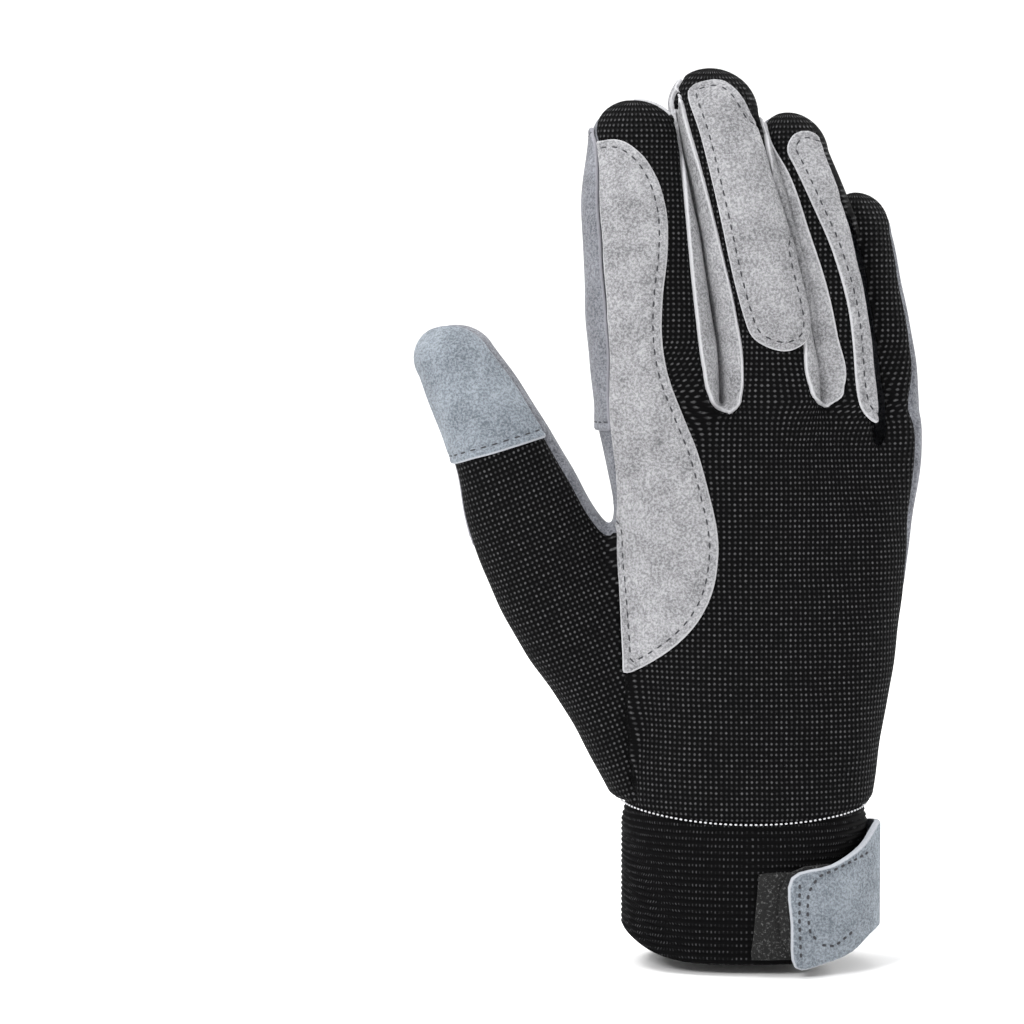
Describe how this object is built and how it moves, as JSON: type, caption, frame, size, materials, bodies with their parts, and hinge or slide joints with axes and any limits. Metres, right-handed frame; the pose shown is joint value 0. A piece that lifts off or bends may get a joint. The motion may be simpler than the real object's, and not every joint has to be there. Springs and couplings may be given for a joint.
{
  "type": "mechanic glove",
  "caption": "Right-hand mechanic glove: black knit back, grey suede palm, padded suede overlays, ribbed elastic cuff with a suede wrist strap closed on a loop patch.",
  "frame": {"origin": "the centre of the cuff's lower opening, where the wrist goes in", "axes": "+Z from the wrist to the fingertips, -Y out of the back of the hand, +Y out of the palm, -X towards the thumb"},
  "size_m": [0.1432, 0.051, 0.249],
  "materials": {
    "knit_black": "matt knitted fabric with a fine raised grid",
    "suede_light": "matt light grey suede, finely speckled",
    "suede_grey": "matt mid grey suede, finely speckled",
    "suede_blue": "matt blue-grey suede, finely speckled",
    "elastic_black": "matt ribbed elastic",
    "pile_black": "matt hook and loop pile"
  },
  "bodies": {
    "root": {"back_panel": "knit_black", "thumb_back": "knit_black", "palm_panel": "suede_grey", "side_strip_index_middle": "suede_light", "side_strip_middle_ring": "suede_light", "side_strip_ring_little": "suede_light", "index_overlay": "suede_light", "middle_overlay": "suede_light", "ring_overlay": "suede_light", "thumb_cap": "suede_blue", "palm_pad": "suede_grey", "index_pad": "suede_grey", "thumb_pad": "suede_grey", "cuff": "elastic_black", "cuff_loop_patch": "pile_black", "strap_hook_patch": "pile_black", "wrist_strap": "suede_blue"}
  },
  "joints": []
}
